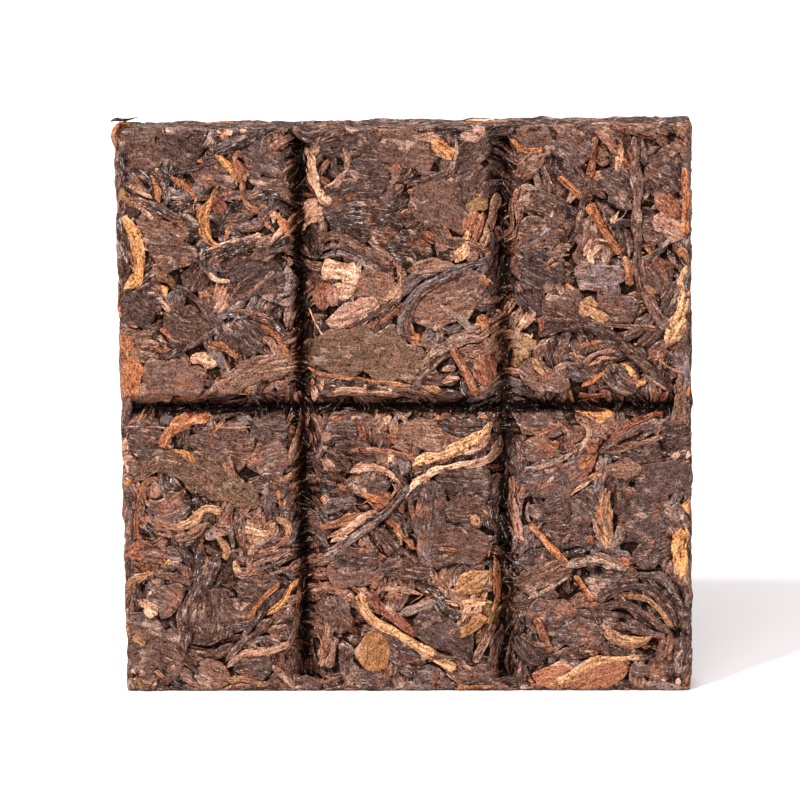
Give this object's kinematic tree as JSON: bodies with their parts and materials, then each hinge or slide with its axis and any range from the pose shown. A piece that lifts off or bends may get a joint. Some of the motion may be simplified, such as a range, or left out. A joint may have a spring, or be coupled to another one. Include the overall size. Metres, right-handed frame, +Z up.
{
  "type": "pressed tea brick",
  "caption": "Square slab of pressed raw pu-erh tea, its front parted by V grooves into tablets that snap off; dark leaves, golden buds and pale stems show all over its skin.",
  "frame": {"origin": "middle of the flat lower edge that the brick stands on, halfway through its thickness", "axes": "+X to the right as seen from the front, +Y through the brick from its grooved front to its back, +Z up along the tablets"},
  "size_m": [0.1006, 0.0119, 0.1008],
  "materials": {
    "pressed_tea": "dry pressed tea leaves, satin on the leaves and matt in the cracks"
  },
  "bodies": {
    "root": {"tea_brick": "pressed_tea"}
  },
  "joints": []
}
